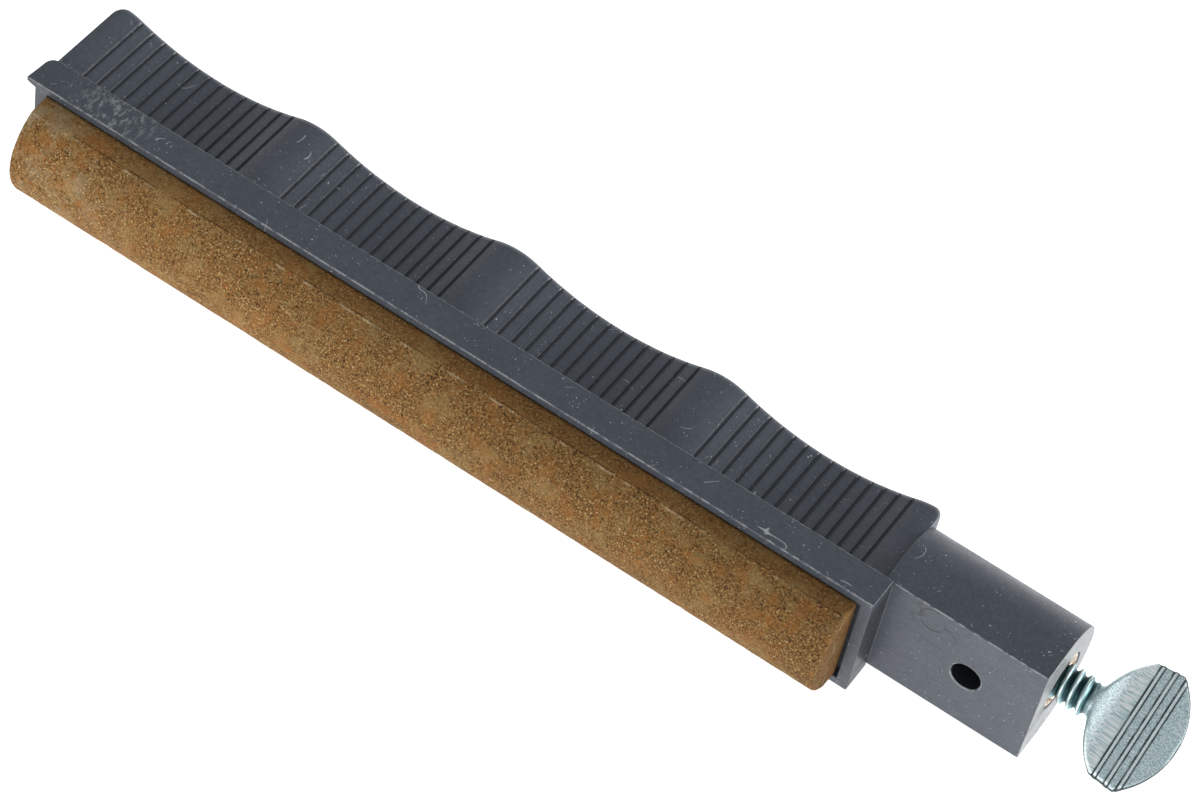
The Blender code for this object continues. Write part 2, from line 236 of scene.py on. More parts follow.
def turned(profile, segments, point):
    """Rings of a turned shape: profile is (along, radius), point(along, a, b) places it."""
    rings = []
    for along, radius in profile:
        ring = []
        for i in range(segments):
            a = 2 * math.pi * i / segments
            ring.append(point(along, radius * math.cos(a), radius * math.sin(a)))
        rings.append(ring)
    return rings


# ---------------------------------------------------------------- holder moulding

LIP_THICK = 0.9
LIP_TIP_THICK = 0.45
LIP_CORNER = 1.2
TRAY_DEPTH = 1.25
TRAY_GAP = 0.12
TRAY_TOE_GAP = 0.06
TRAY_END_GAP = 0.45
GROOVE_HALF = 0.19
GROOVE_DEEP = 0.24
GROOVE_SOFT = 0.06
CREST_START = 10.62              # a crest's stations, from a scallop's middle
CREST_RUN = 2.44
GRIP_ROUND = 1.2                 # along the grip's back edges
GRIP_CORNER = 1.05               # at the ends of the grip's back
END_ROUND = 0.1                  # on the end edges of the plate and the boss
PLATE_EDGE = 0.14
LIP_ROOT = 2.2                   # where a toe lip is tied into the plate
FILLET = 0.12                    # where the boss leaves the plate
RIM_CHAMFER = 0.14


def scallop_inset(x):
    """How far the grip's side is cut in at x: hollow arcs joined by round crests."""
    slope = SCALLOP_HALF / SCALLOP_RADIUS
    rise = 1 - math.sqrt(1 - slope ** 2)
    crest_radius = (SCALLOP_SPACING / 2 - SCALLOP_HALF) / slope
    centres = [SCALLOP_FIRST + n * SCALLOP_SPACING for n in range(SCALLOP_COUNT)]
    from_middle = min(abs(x - centre) for centre in centres)
    if from_middle < SCALLOP_HALF:
        hollow = math.sqrt(SCALLOP_RADIUS ** 2 - from_middle ** 2) - SCALLOP_RADIUS
        return (crest_radius + SCALLOP_RADIUS) * rise + hollow
    to_crest = SCALLOP_SPACING / 2 - from_middle
    return crest_radius - math.sqrt(crest_radius ** 2 - to_crest ** 2)


def grip_stations():
    """Stations along the grip with the depth of the groove there."""
    stations = {}
    for k in range(6):
        run = GRIP_CORNER * (1 - math.cos(math.pi / 2 * k / 5))
        stations[GRIP_START + run] = 0.0
        stations[GRIP_END - run] = 0.0
    for n in range(SCALLOP_COUNT):
        centre = SCALLOP_FIRST + n * SCALLOP_SPACING
        for side in (-1, 1):
            for k in range(8):
                stations[centre + side * (CREST_START + CREST_RUN * k / 8)] = 0.0
        for g in range(GROOVES):
            x = centre + (g - (GROOVES - 1) / 2) * GROOVE_SPACING
            for reach, depth in ((GROOVE_HALF + GROOVE_SOFT, 0.0),
                                 (GROOVE_HALF + GROOVE_SOFT * 0.3, GROOVE_SOFT * 0.3),
                                 (GROOVE_HALF, GROOVE_SOFT),
                                 (GROOVE_HALF - 0.04, GROOVE_DEEP * 0.8),
                                 (GROOVE_HALF - 0.1, GROOVE_DEEP)):
                stations[x - reach] = depth
                stations[x + reach] = depth
            if g < GROOVES - 1:
                stations[x + GROOVE_SPACING / 2] = 0.0
    inside = {x: d for x, d in stations.items() if GRIP_START <= x <= GRIP_END}
    return sorted(inside.items())


def grip_rings():
    """Sections of the grip: flat sides from inside the plate, and rounded back edges."""
    rings = []
    for x, groove in grip_stations():
        half = GRIP_HALF - scallop_inset(x)
        top = BACK - round_drop(min(x - GRIP_START, GRIP_END - x), GRIP_CORNER)
        side = [(half - groove, z) for z in (3.0, 4.05, 8.0, 12.0)]
        for k in range(9):
            a = math.pi / 2 * k / 8
            y = half - GRIP_ROUND * (1 - math.cos(a))
            side.append((min(y, half - groove), top - GRIP_ROUND * (1 - math.sin(a))))
        side.append((half * 0.4, top))
        ring = side + [(-y, z) for y, z in reversed(side)]
        rings.append([at(x, y, z) for y, z in ring])
    return rings


def plate_rings():
    half = PLATE_HALF
    section = rounded([(half, 0.0, PLATE_EDGE), (half, PLATE_TOP, FILLET),
                       (-half, PLATE_TOP, FILLET), (-half, 0.0, PLATE_EDGE)])
    return prism_x(section, 0.0, PLATE_LENGTH, END_ROUND, END_ROUND * 0.9)


def lip_rings(side):
    """A lip's end, past the toe: thinner at its tip, with a rounded upper corner."""
    outline = [(LIP_ROOT, 0.0), (-LIP_REACH + 0.12, 0.0), (-LIP_REACH, 0.12), (-LIP_REACH + 0.1, 1.6)]
    outline += arc((-LIP_REACH + 0.16 + LIP_CORNER, PLATE_TOP - LIP_CORNER), LIP_CORNER, 180, 90, 7)
    outline += [(LIP_ROOT, PLATE_TOP)]
    rings = []
    for depth, inset in ((0.0, 0.16), (0.05, 0.05), (0.15, 0.0)):
        edge = offset(outline, inset) if inset else outline
        rings.append([at(x, side * (PLATE_HALF - depth), z) for x, z in edge])
    slope = (LIP_THICK - LIP_TIP_THICK) / LIP_REACH
    rings.append([at(x, side * (PLATE_HALF - min(LIP_THICK + slope * x, 1.5)), z) for x, z in outline])
    return rings


def boss_rings():
    side = rounded([(-BOSS_FLAT_HALF, PLATE_TOP, FILLET), (BOSS_FLAT_HALF, PLATE_TOP, FILLET),
                    (BOSS_RADIUS, BOSS_AXIS_Z, 0.0), (-BOSS_RADIUS, BOSS_AXIS_Z, 0.0)])
    section = side[:-2] + arc((0.0, BOSS_AXIS_Z), BOSS_RADIUS, 0, 180, 72)
    return prism_x(section, BOSS_START, BOSS_END, END_ROUND, END_ROUND)


def boss_root_rings():
    """Ties the boss into the plate, inside both, with a small fillet at the step."""
    half = BOSS_FLAT_HALF - 0.35
    start, top = PLATE_LENGTH - 0.3, PLATE_TOP + 0.6
    outline = [(start, top), (start, PLATE_TOP - FILLET)]
    outline += arc((PLATE_LENGTH + FILLET, PLATE_TOP - FILLET), FILLET, 180, 90, 6)
    outline += [(PLATE_LENGTH + FILLET, top)]
    return [[at(x, y, z) for x, z in outline] for y in (-half, half)]


def tray_rings():
    """The cut for the stone's tray, with a small chamfer at its rim."""
    rings = []
    chamfer = 0.06
    for z, extra in ((-1.0, chamfer), (0.0, chamfer), (chamfer, 0.0), (TRAY_DEPTH, 0.0)):
        half = STONE_HALF + TRAY_GAP + extra
        low = STONE_START - TRAY_TOE_GAP
        high = STONE_END + TRAY_END_GAP + extra
        rings.append([at(x, y, z) for x, y in ((low, -half), (high, -half), (high, half), (low, half))])
    return rings


def make_holder():
    holder = solid("holder_moulding", plate_rings())
    for name, rings in (("lip_near", lip_rings(-1)), ("lip_far", lip_rings(1)), ("grip", grip_rings()),
                        ("boss_root", boss_root_rings()), ("boss", boss_rings())):
        boolean(holder, solid(name, rings), "UNION")
    hole = [(PLATE_TOP - 1.0, ROD_HOLE_RADIUS + RIM_CHAMFER), (PLATE_TOP, ROD_HOLE_RADIUS + RIM_CHAMFER),
            (PLATE_TOP + RIM_CHAMFER, ROD_HOLE_RADIUS), (BACK + 1.0, ROD_HOLE_RADIUS)]
    boolean(holder, solid("rod_cut", turned(hole, 56, lambda z, a, b: at(ROD_HOLE_X + a, b, z))),
            "DIFFERENCE")
    pocket = INSERT_OUTER + 0.03
    bore = [(BOSS_END - BORE_DEPTH, BORE_RADIUS), (BOSS_END - POCKET_DEPTH - 0.1, BORE_RADIUS),
            (BOSS_END - POCKET_DEPTH, pocket), (BOSS_END - 0.2, pocket),
            (BOSS_END, INSERT_OUTER + RIM_CHAMFER), (BOSS_END + 1.0, INSERT_OUTER + RIM_CHAMFER)]
    boolean(holder, solid("bore_cut", turned(bore, 64, lambda x, a, b: at(x, a, SCREW_Z + b))),
            "DIFFERENCE")
    boolean(holder, solid("tray_cut", tray_rings()), "DIFFERENCE")
    shade(holder, 28)
    return holder


# ---------------------------------------------------------------- stone

STONE_WALL = 2.1
STONE_TAPER = 0.4                # how much deeper the crown is at the toe end
STONE_ROUND = 0.35               # rounding of the end faces into the crown
STONE_STEP = 0.42                # between the stone's sections
SEAM_DEPTH = 0.05
STONE_CORE = -1.5                # the height that the end rounding draws the sections to
GRAIN_FINE, GRAIN_BROAD = 0.045, 0.05


def stone_outline(x):
    """Half outline of the stone at x as (y, z), from base to crown, and its wall's height."""
    along = (x - STONE_START) / (STONE_END - STONE_START)
    crown = STONE_CROWN - STONE_TAPER * along
    wall = STONE_WALL + STONE_TAPER * (1 - along) ** 2
    half = STONE_HALF - 0.02
    sag = crown - wall
    radius = (half ** 2 + sag ** 2) / (2 * sag)
    sweep = math.asin(half / radius)
    points = [(half - 0.35, STONE_BASE), (half - 0.1, STONE_BASE - 0.1), (half, STONE_BASE - 0.35)]
    for k in range(1, 9):
        points.append((half, STONE_BASE - 0.35 - (wall + STONE_BASE - 0.5) * k / 8))
    points.append((half - SEAM_DEPTH, -wall))
    for k in range(1, 41):
        a = sweep * (1 - (k - 0.4) / 39.6) if k > 1 else sweep * 0.985
        points.append((radius * math.sin(a), -crown + radius * (1 - math.cos(a))))
    return points, wall


def lumps(x, y, z, size):
    return noise.noise(Vector((x, y, z)) / size)


def stone_rings():
    """Sections of the stone, drawn in at its ends and roughened below its first surface."""
    rings = []
    ends = [STONE_ROUND * (1 - math.cos(math.pi / 2 * k / 8)) for k in range(9)]
    length = STONE_END - STONE_START - 2 * STONE_ROUND
    count = int(length / STONE_STEP)
    stations = [STONE_START + end for end in ends]
    stations += [STONE_START + STONE_ROUND + length * k / count for k in range(1, count)]
    stations += [STONE_END - end for end in reversed(ends)]
    for x in stations:
        shrink = round_drop(min(x - STONE_START, STONE_END - x), STONE_ROUND)
        outline, wall = stone_outline(x)
        full = outline + [(-y, z) for y, z in reversed(outline[:-1])]
        ring = []
        for y, z in full:
            pull = shrink * min(max(-0.2 - z, 0.0) / 2.5, 1.0)
            size = max(abs(y), abs(z - STONE_CORE), 0.1)
            grain = abs(GRAIN_FINE * lumps(x, y, z, 0.9) + GRAIN_BROAD * lumps(x, y + 40, z, 3.5))
            y2 = y - y / size * pull - y / STONE_HALF * grain
            z2 = z - (z - STONE_CORE) / size * pull if z < 0 else z
            z2 += grain if z < -wall else 0.0
            ring.append(at(x, y2, z2))
        rings.append(ring)
    return rings


def make_stone():
    stone = solid("stone_bar", stone_rings())
    shade(stone, 50)
    return stone


# ---------------------------------------------------------------- insert

INSERT_OUTER = 3.3
INSERT_CREST, INSERT_ROOT = 2.4, 2.55
INSERT_RIDGES = 20               # crests and roots along the bore
INSERT_LOW, INSERT_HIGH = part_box("threaded_insert")
THREAD_PITCH = 1.1


def insert_rings():
    """A ring round the screw's axis, as closed loops of (x, r); ridges stand for its thread."""
    start, end = local_x(INSERT_LOW.x), local_x(INSERT_HIGH.x)
    profile = [(end - 0.03, INSERT_OUTER - 0.25), (end - 0.12, INSERT_OUTER - 0.08),
               (end - 0.3, INSERT_OUTER), (start + 0.3, INSERT_OUTER), (start, INSERT_OUTER - 0.3),
               (start, 2.75)]
    for k in range(INSERT_RIDGES + 1):
        x = start + 0.3 + (end - start - 0.7) * k / INSERT_RIDGES
        profile.append((x, INSERT_ROOT if k % 2 else INSERT_CREST))
    profile += [(end - 0.2, 2.6), (end - 0.03, 2.75), (end, 2.9)]
    rings = []
    segments = 96
    for i in range(segments):
        a = 2 * math.pi * i / segments
        rings.append([at(x, r * math.cos(a), SCREW_Z + r * math.sin(a)) for x, r in profile])
    return rings


def make_insert():
    insert = solid("insert_ring", insert_rings(), closed=True)
    shade(insert, 30)
    return insert


# ---------------------------------------------------------------- thumbscrew

HEAD_TURN = math.radians(26.4)   # how far the head stands turned from the middle plane
THREAD_CREST = 2.2
THREAD_ROOT = 1.68
RINGS_PER_TURN = 22
QUARTER = 30                     # points in a quarter of a flat section
HEAD_LENGTH = SCREW_END - NECK
HEAD_NECK = 1.7
HEAD_FOOT = 0.3                  # the head's outline: an arc from here out of the neck,
HEAD_SHOULDER = (3.6, 6.65)      # a straight run past the ribs from here
HEAD_CORNER = (6.5, 6.93)        # to here, and an arc to the tip
BLADE_NECK, BLADE_RIM = 0.72, 0.42
RIBS = (4.23, 5.64, 6.97)
RIB_HALF = 0.15
RIB_RISE = 0.17
RIB_FLANK = 0.08
RIB_END = 0.06                   # how far a rib's end stands out of the outline


def screw_point(x, u, v):
    """u is the head's thickness direction and v its width, turned about the axis."""
    y = u * math.cos(HEAD_TURN) - v * math.sin(HEAD_TURN)
    z = u * math.sin(HEAD_TURN) + v * math.cos(HEAD_TURN)
    return at(x, y, SCREW_Z + z)


def smooth(t):
    t = min(max(t, 0.0), 1.0)
    return t * t * (3 - 2 * t)


def thread_height(phase):
    """Height of the thread across one pitch, from 0 in the root to 1 on its flat crest."""
    from_root = abs(2 * (phase % 1.0) - 1)
    return smooth((from_root - 0.1) / 0.82)


def flat_ring(wide, thick):
    """A flat section with rounded rims, as (u, v) points spaced evenly round it."""
    corner = min(thick, wide) * 0.97
    rim, face = math.pi / 2 * corner, wide - corner
    side = thick - corner
    total = side + rim + face
    quarter = []
    for k in range(QUARTER):
        run = total * k / QUARTER
        if run < side:
            quarter.append((run, wide))
        elif run < side + rim:
            a = (run - side) / corner
            quarter.append((side + corner * math.sin(a), face + corner * math.cos(a)))
        else:
            quarter.append((thick, total - run))
    half = quarter + [(thick, 0.0)] + [(u, -v) for u, v in reversed(quarter[1:])]
    return half + [(-u, -v) for u, v in half]


def shank_rings():
    """The threaded shank, with its angles taken from the neck's section."""
    length = NECK - SCREW_TIP
    steps = round(length / THREAD_PITCH * RINGS_PER_TURN)
    angles = [math.atan2(v, u) for u, v in flat_ring(HEAD_NECK, HEAD_NECK * 0.99)]
    rings = []
    for k in range(steps + 1):
        x = length * k / steps
        fade = min(1.0, 0.2 + x / 0.6, (length - x) / 0.6)
        ring = []
        for a in angles:
            height = thread_height(x / THREAD_PITCH - a / (2 * math.pi)) * max(fade, 0.0)
            radius = min(THREAD_ROOT + (THREAD_CREST - THREAD_ROOT) * height, 1.4 + x * 1.3)
            ring.append(screw_point(SCREW_TIP + x, radius * math.cos(a), radius * math.sin(a)))
        rings.append(ring)
    return rings


def arc_height(run, reach, height):
    """Height of an arc at a run from its foot, where it reaches the given height at reach."""
    radius = (reach ** 2 + height ** 2) / (2 * reach)
    return math.sqrt(max(2 * radius * run - run ** 2, 0.0)) if run > 0 else 0.0


def head_half(x):
    """Half the head's width at x from the neck, which flares softly into the outline's arc."""
    (shoulder, low), (corner, high) = HEAD_SHOULDER, HEAD_CORNER
    if x > corner:
        return arc_height(HEAD_LENGTH - x, HEAD_LENGTH - corner, high)
    if x > shoulder:
        return low + (high - low) * (x - shoulder) / (corner - shoulder)
    curve = arc_height(x - HEAD_FOOT, shoulder - HEAD_FOOT, low)
    if curve >= 4:
        return curve
    flare = HEAD_NECK + 0.75 * smooth(x / 1.3)
    soft = 0.7
    blend = max(soft - abs(curve - flare), 0.0) / soft
    return max(curve, flare) + blend * blend * soft / 4


def head_thick(s):
    """Half the blade's thickness at a share s of its length: neck, blade and rounded tip."""
    blade = BLADE_NECK + (BLADE_RIM - BLADE_NECK) * smooth(s / 0.8)
    thick = blade + (HEAD_NECK - blade) * (1 - smooth(s / 0.3)) ** 1.4
    tip = max(s - 0.95, 0.0) / 0.05
    return thick * math.sqrt(max(1 - tip * tip, 0.04))


def rib_share(x):
    """1 on a rib's top, down its flanks to 0 on the blade."""
    return sum(smooth((RIB_HALF + RIB_FLANK - abs(x - rib)) / RIB_FLANK) for rib in RIBS)


def head_rings():
    stations = {HEAD_LENGTH * k / 100 for k in range(1, 96)} | {HEAD_SHOULDER[0], HEAD_CORNER[0]}
    stations |= {HEAD_LENGTH * s for s in (0.965, 0.975, 0.985, 0.992, 0.9965, 0.999)}
    for rib in RIBS:
        for side in (-1, 1):
            stations |= {rib + side * (RIB_HALF + RIB_FLANK * t) for t in (-0.4, 0.0, 0.3, 0.7, 1.0, 1.4)}
    rings = []
    for x in sorted(stations):
        s = x / HEAD_LENGTH
        share = rib_share(x)
        ring = flat_ring(head_half(x) + RIB_END * share, head_thick(s) + RIB_RISE * share)
        rings.append([screw_point(NECK + x, u, v) for u, v in ring])
    return rings


def make_screw():
    screw = solid("screw_spade", shank_rings() + head_rings())
    shade(screw, 38)
    return screw


# ---------------------------------------------------------------- shader helpers

def new_material(name):
    material = bpy.data.materials.new(name)
    material.use_nodes = True
    tree = material.node_tree
    return material, tree, tree.nodes["Principled BSDF"]


def node(tree, kind, **settings):
    """A new node; a setting is an input's value where the node has such an input."""
    made = tree.nodes.new(kind)
    for key, value in settings.items():
        if key in made.inputs:
            made.inputs[key].default_value = value
        else:
            setattr(made, key, value)
    return made


def link(tree, source, target):
    tree.links.new(source, target)


def plug(tree, value, socket):
    """Gives a socket another socket's value, a number or a colour."""
    if hasattr(value, "links"):
        link(tree, value, socket)
    elif isinstance(value, (int, float)):
        socket.default_value = value
    else:
        socket.default_value = (*value, 1.0)


def maths(tree, operation, a, b=0.0):
    made = node(tree, "ShaderNodeMath", operation=operation)
    plug(tree, a, made.inputs[0])
    plug(tree, b, made.inputs[1])
    return made.outputs[0]


def plus(tree, a, b):
    return maths(tree, "ADD", a, b)


def minus(tree, a, b):
    return maths(tree, "SUBTRACT", a, b)


def times(tree, first, *others):
    for other in others:
        first = maths(tree, "MULTIPLY", first, other)
    return first


def most(tree, first, *others):
    """The largest of several values."""
    for other in others:
        first = maths(tree, "MAXIMUM", first, other)
    return first


def above(tree, value, limit):
    return maths(tree, "GREATER_THAN", value, limit)


def below(tree, value, limit):
    return maths(tree, "LESS_THAN", value, limit)


def away(tree, value, place):
    """How far a value is from a place, on either side."""
    return maths(tree, "ABSOLUTE", minus(tree, value, place))


def distance(tree, first, second, place):
    """Distance from a point in the plane of two coordinates."""
    across = minus(tree, first, place[0])
    up = minus(tree, second, place[1])
    return maths(tree, "SQRT", plus(tree, times(tree, across, across), times(tree, up, up)))


def near(tree, separation, reach):
    """1 at no separation, down to 0 at the reach."""
    return most(tree, minus(tree, 1.0, maths(tree, "DIVIDE", separation, reach)), 0.0)


def split(tree, vector):
    made = node(tree, "ShaderNodeSeparateXYZ")
    link(tree, vector, made.inputs[0])
    return made.outputs


def hone_axes(tree):
    """The place for noise, in metres, and its x, y and z in the hone's axes, in millimetres."""
    where = node(tree, "ShaderNodeTexCoord").outputs["Object"]
    frame_x, frame_y, frame_z = split(tree, where)
    x = times(tree, minus(tree, frame_x, TOE_X), 1 / MM)
    y = times(tree, minus(tree, MIDDLE_Z, frame_z), 1 / MM)
    z = times(tree, minus(tree, frame_y, BASE_Y), 1 / MM)
    return where, x, y, z


def moved(tree, vector, scale=(1.0, 1.0, 1.0), location=(0.0, 0.0, 0.0)):
    made = node(tree, "ShaderNodeMapping", Scale=scale, Location=location)
    link(tree, vector, made.inputs["Vector"])
    return made.outputs["Vector"]


def clouds(tree, vector, scale, detail=3.0, roughness=0.6):
    made = node(tree, "ShaderNodeTexNoise", Scale=scale, Detail=detail, Roughness=roughness)
    link(tree, vector, made.inputs["Vector"])
    return made.outputs["Fac"]


def cells(tree, vector, scale):
    """Distance from the nearest of many scattered points."""
    made = node(tree, "ShaderNodeTexVoronoi", Scale=scale, feature="F1")
    link(tree, vector, made.inputs["Vector"])
    return made.outputs["Distance"]


def ramp(tree, fac, stops):
    made = node(tree, "ShaderNodeValToRGB")
    elements = made.color_ramp.elements
    while len(elements) < len(stops):
        elements.new(0.5)
    for element, (position, colour) in zip(elements, stops):
        element.position = position
        element.color = (*colour, 1.0)
    link(tree, fac, made.inputs["Fac"])
    return made.outputs["Color"]


def grey(level):
    return (level, level, level)


def band(tree, value, *stops):
    """A ramp in greys, through (position, level) stops."""
    return ramp(tree, value, [(position, grey(level)) for position, level in stops])


def mix(tree, fac, a, b, blend="MIX"):
    made = node(tree, "ShaderNodeMix", data_type="RGBA", blend_type=blend)
    plug(tree, fac, made.inputs[0])
    plug(tree, a, made.inputs[6])
    plug(tree, b, made.inputs[7])
    return made.outputs[2]


def tinted(tree, colour, tint):
    return mix(tree, 1.0, colour, tint, "MULTIPLY")


def bump(tree, height, strength, depth, normal=None):
    made = node(tree, "ShaderNodeBump", Strength=strength, Distance=depth)
    link(tree, height, made.inputs["Height"])
    if normal is not None:
        link(tree, normal, made.inputs["Normal"])
    return made.outputs["Normal"]


def openness(tree, reach, low, high):
    """1 in the open and 0 in corners and grooves, from ambient occlusion; the materials use it to paint
    shade into their colour.
    """
    made = node(tree, "ShaderNodeAmbientOcclusion", samples=6, Distance=reach * MM)
    return band(tree, made.outputs["AO"], (low, 0.0), (high, 1.0))


# ---------------------------------------------------------------- the holder's plastic

def specks(tree, where, size, amount, seed):
    """Tiny pale bits of dust and plastic, gathered in loose patches."""
    place = moved(tree, where, location=(seed, seed * 0.7, 0.0))
    dot = band(tree, cells(tree, place, size), (0.08, 1.0), (0.17, 0.0))
    patch = band(tree, clouds(tree, place, size * 0.3, 2.0), (1 - amount, 0.0), (1.04 - amount, 1.0))
    return times(tree, dot, patch)


def scratches(tree, where):
    """Short fine curved scratches."""
    bent = clouds(tree, moved(tree, where, (260.0, 260.0, 260.0), (0.2, 0.0, 0.2)), 1.0, 0.0)
    line = band(tree, away(tree, bent, 0.5), (0.0, 1.0), (0.006, 0.0))
    patch = band(tree, clouds(tree, where, 330.0, 1.0), (0.63, 0.0), (0.66, 1.0))
    return times(tree, line, patch)


def edges_worn_and_highlit(tree, where, x, y, z):
    """The plate's and the boss's long edges and the rod hole's rim, pale in places: partly rubbed wear,
    partly a painted edge highlight.
    """
    masks = []
    for across, up, reach in ((PLATE_HALF, 0.0, 0.22), (PLATE_HALF, PLATE_TOP, 0.17),
                              (BOSS_FLAT_HALF, PLATE_TOP, 0.2)):
        for side in (-1, 1):
            masks.append(near(tree, distance(tree, y, z, (side * across, up)), reach))
    from_hole = distance(tree, x, y, (ROD_HOLE_X, 0.0))
    masks.append(near(tree, away(tree, from_hole, ROD_HOLE_RADIUS + 0.1), 0.14))
    edges = band(tree, most(tree, *masks), (0.25, 0.0), (0.8, 1.0))
    return times(tree, edges, band(tree, clouds(tree, where, 1300.0, 4.0), (0.42, 0.1), (0.54, 1.0)))


def moulding_marks(tree, where, x, y, z):
    """On the boss's flat: an ejector pin's broken ring, and flow lines round it."""
    from_mark = distance(tree, x, y, MARK)
    ring = band(tree, near(tree, away(tree, from_mark, MARK_RADIUS), 0.13), (0.1, 0.0), (0.6, 1.0))
    broken = band(tree, clouds(tree, where, 420.0, 2.0), (0.42, 0.0), (0.52, 1.0))
    flow = clouds(tree, moved(tree, where, (150.0, 150.0, 420.0)), 1.0, 1.0)
    flow = band(tree, away(tree, flow, 0.5), (0.0, 1.0), (0.02, 0.0))
    lines = most(tree, times(tree, ring, broken), times(tree, flow, near(tree, from_mark, 5.5)))
    height = times(tree, z, 1 / (PLATE_TOP * 2))
    on_flat = band(tree, height, (0.515, 1.0), (0.53, 0.0))
    length = 200.0
    past_step = band(tree, times(tree, x, 1 / length), ((PLATE_LENGTH + 0.6) / length, 0.0),
                     ((PLATE_LENGTH + 1.6) / length, 1.0))
    return times(tree, lines, on_flat, past_step)


def groove_painted_shade(tree, x, z):
    """Painted shade in the grooves of every scallop, on the grip's sides and not on its back."""
    scallop = maths(tree, "DIVIDE", minus(tree, x, SCALLOP_FIRST), SCALLOP_SPACING)
    from_hollow = minus(tree, maths(tree, "FRACT", plus(tree, scallop, 0.5)), 0.5)
    groove = times(tree, from_hollow, SCALLOP_SPACING / GROOVE_SPACING)
    from_groove = times(tree, away(tree, maths(tree, "FRACT", groove), 0.5), GROOVE_SPACING)
    share = times(tree, maths(tree, "ABSOLUTE", groove), 1 / GROOVES)
    grooved = band(tree, share, (0.5, 1.0), (0.51, 0.0))
    return times(tree, near(tree, from_groove, 0.62), grooved, above(tree, z, PLATE_TOP + 0.1),
                 below(tree, x, GRIP_END), below(tree, z, BACK - GRIP_ROUND / 2))


def toe_scuffs(tree, where, x, y, z):
    """A scuffed patch on the outer face of the lip that lies uppermost, near the toe."""
    patch = near(tree, distance(tree, x, z, (9.0, 2.4)), 6.5)
    texture = clouds(tree, moved(tree, where, (1500.0, 800.0, 800.0)), 1.0, 4.0, 0.75)
    texture = band(tree, texture, (0.5, 0.0), (0.6, 0.9))
    return times(tree, patch, below(tree, y, 0.06 - PLATE_HALF), texture)


# Pales the boss's end face in patches: painted light, where that face meets the light from the right.
def boss_end_painted_light(tree, where, x):
    texture = clouds(tree, moved(tree, where, (900.0, 1500.0, 700.0)), 1.0, 3.0, 0.7)
    texture = band(tree, texture, (0.35, 0.45), (0.65, 0.95))
    return times(tree, above(tree, x, BOSS_END - 0.05), texture)


def plastic():
    material, tree, shader = new_material("holder_plastic")
    where, x, y, z = hone_axes(tree)
    colour = ramp(tree, clouds(tree, where, 120.0, 4.0),
                  [(0.3, (0.055, 0.064, 0.080)), (0.7, (0.066, 0.076, 0.094))])
    mottle = ramp(tree, clouds(tree, where, 2300.0, 3.0, 0.7),
                  [(0.3, (0.80, 0.83, 0.86)), (0.7, (1.22, 1.20, 1.16))])
    colour = tinted(tree, colour, mottle)

    dust = most(tree, specks(tree, where, 2600.0, 0.45, 0.3), specks(tree, where, 1500.0, 0.38, 0.9))
    marks = most(tree, dust, times(tree, scratches(tree, where), 0.8))
    # The plate's end face is darkened: a painted shadow, where the boss keeps the light off it.
    plate_end_shadow = times(tree, below(tree, z, PLATE_TOP - 0.15), above(tree, x, PLATE_LENGTH - 0.04))
    # The rod hole's inside is painted nearly black: painted shade in the hole.
    hole_painted_shade = below(tree, distance(tree, x, y, (ROD_HOLE_X, 0.0)), ROD_HOLE_RADIUS + 0.03)
    # The layers, in order: edges rubbed pale, partly a painted edge highlight; the ejector mark; dust and
    # scratches; painted shade in the grooves; painted shade in the corners; the scuffed toe; painted
    # light on the boss's end; a painted shadow on the plate's end; painted shade in the rod hole.
    layers = ((edges_worn_and_highlit(tree, where, x, y, z), 0.62, (0.44, 0.45, 0.46)),
              (moulding_marks(tree, where, x, y, z), 0.9, (0.012, 0.014, 0.018)),
              (marks, 0.85, (0.62, 0.63, 0.64)),
              (groove_painted_shade(tree, x, z), 0.5, (0.026, 0.030, 0.037)),
              (minus(tree, 1.0, openness(tree, 0.5, 0.2, 0.75)), 1.0, (0.026, 0.029, 0.036)),
              (toe_scuffs(tree, where, x, y, z), 1.0, (0.30, 0.32, 0.33)),
              (boss_end_painted_light(tree, where, x), 1.0, (0.23, 0.235, 0.235)),
              (plate_end_shadow, 0.55, (0.012, 0.013, 0.016)),
              (hole_painted_shade, 0.85, (0.004, 0.004, 0.005)))
    for mask, strength, tint in layers:
        colour = mix(tree, times(tree, mask, strength), colour, tint)
    link(tree, colour, shader.inputs["Base Color"])

    roughness = band(tree, clouds(tree, where, 320.0, 5.0), (0.3, 0.34), (0.7, 0.5))
    link(tree, roughness, shader.inputs["Roughness"])
    normal = bump(tree, clouds(tree, where, 2600.0, 2.0), 0.14, 0.0001)
    normal = bump(tree, clouds(tree, where, 200.0, 2.0), 0.1, 0.0005, normal)
    link(tree, bump(tree, marks, 0.4, 0.00006, normal), shader.inputs["Normal"])
    return material


# ---------------------------------------------------------------- the stone

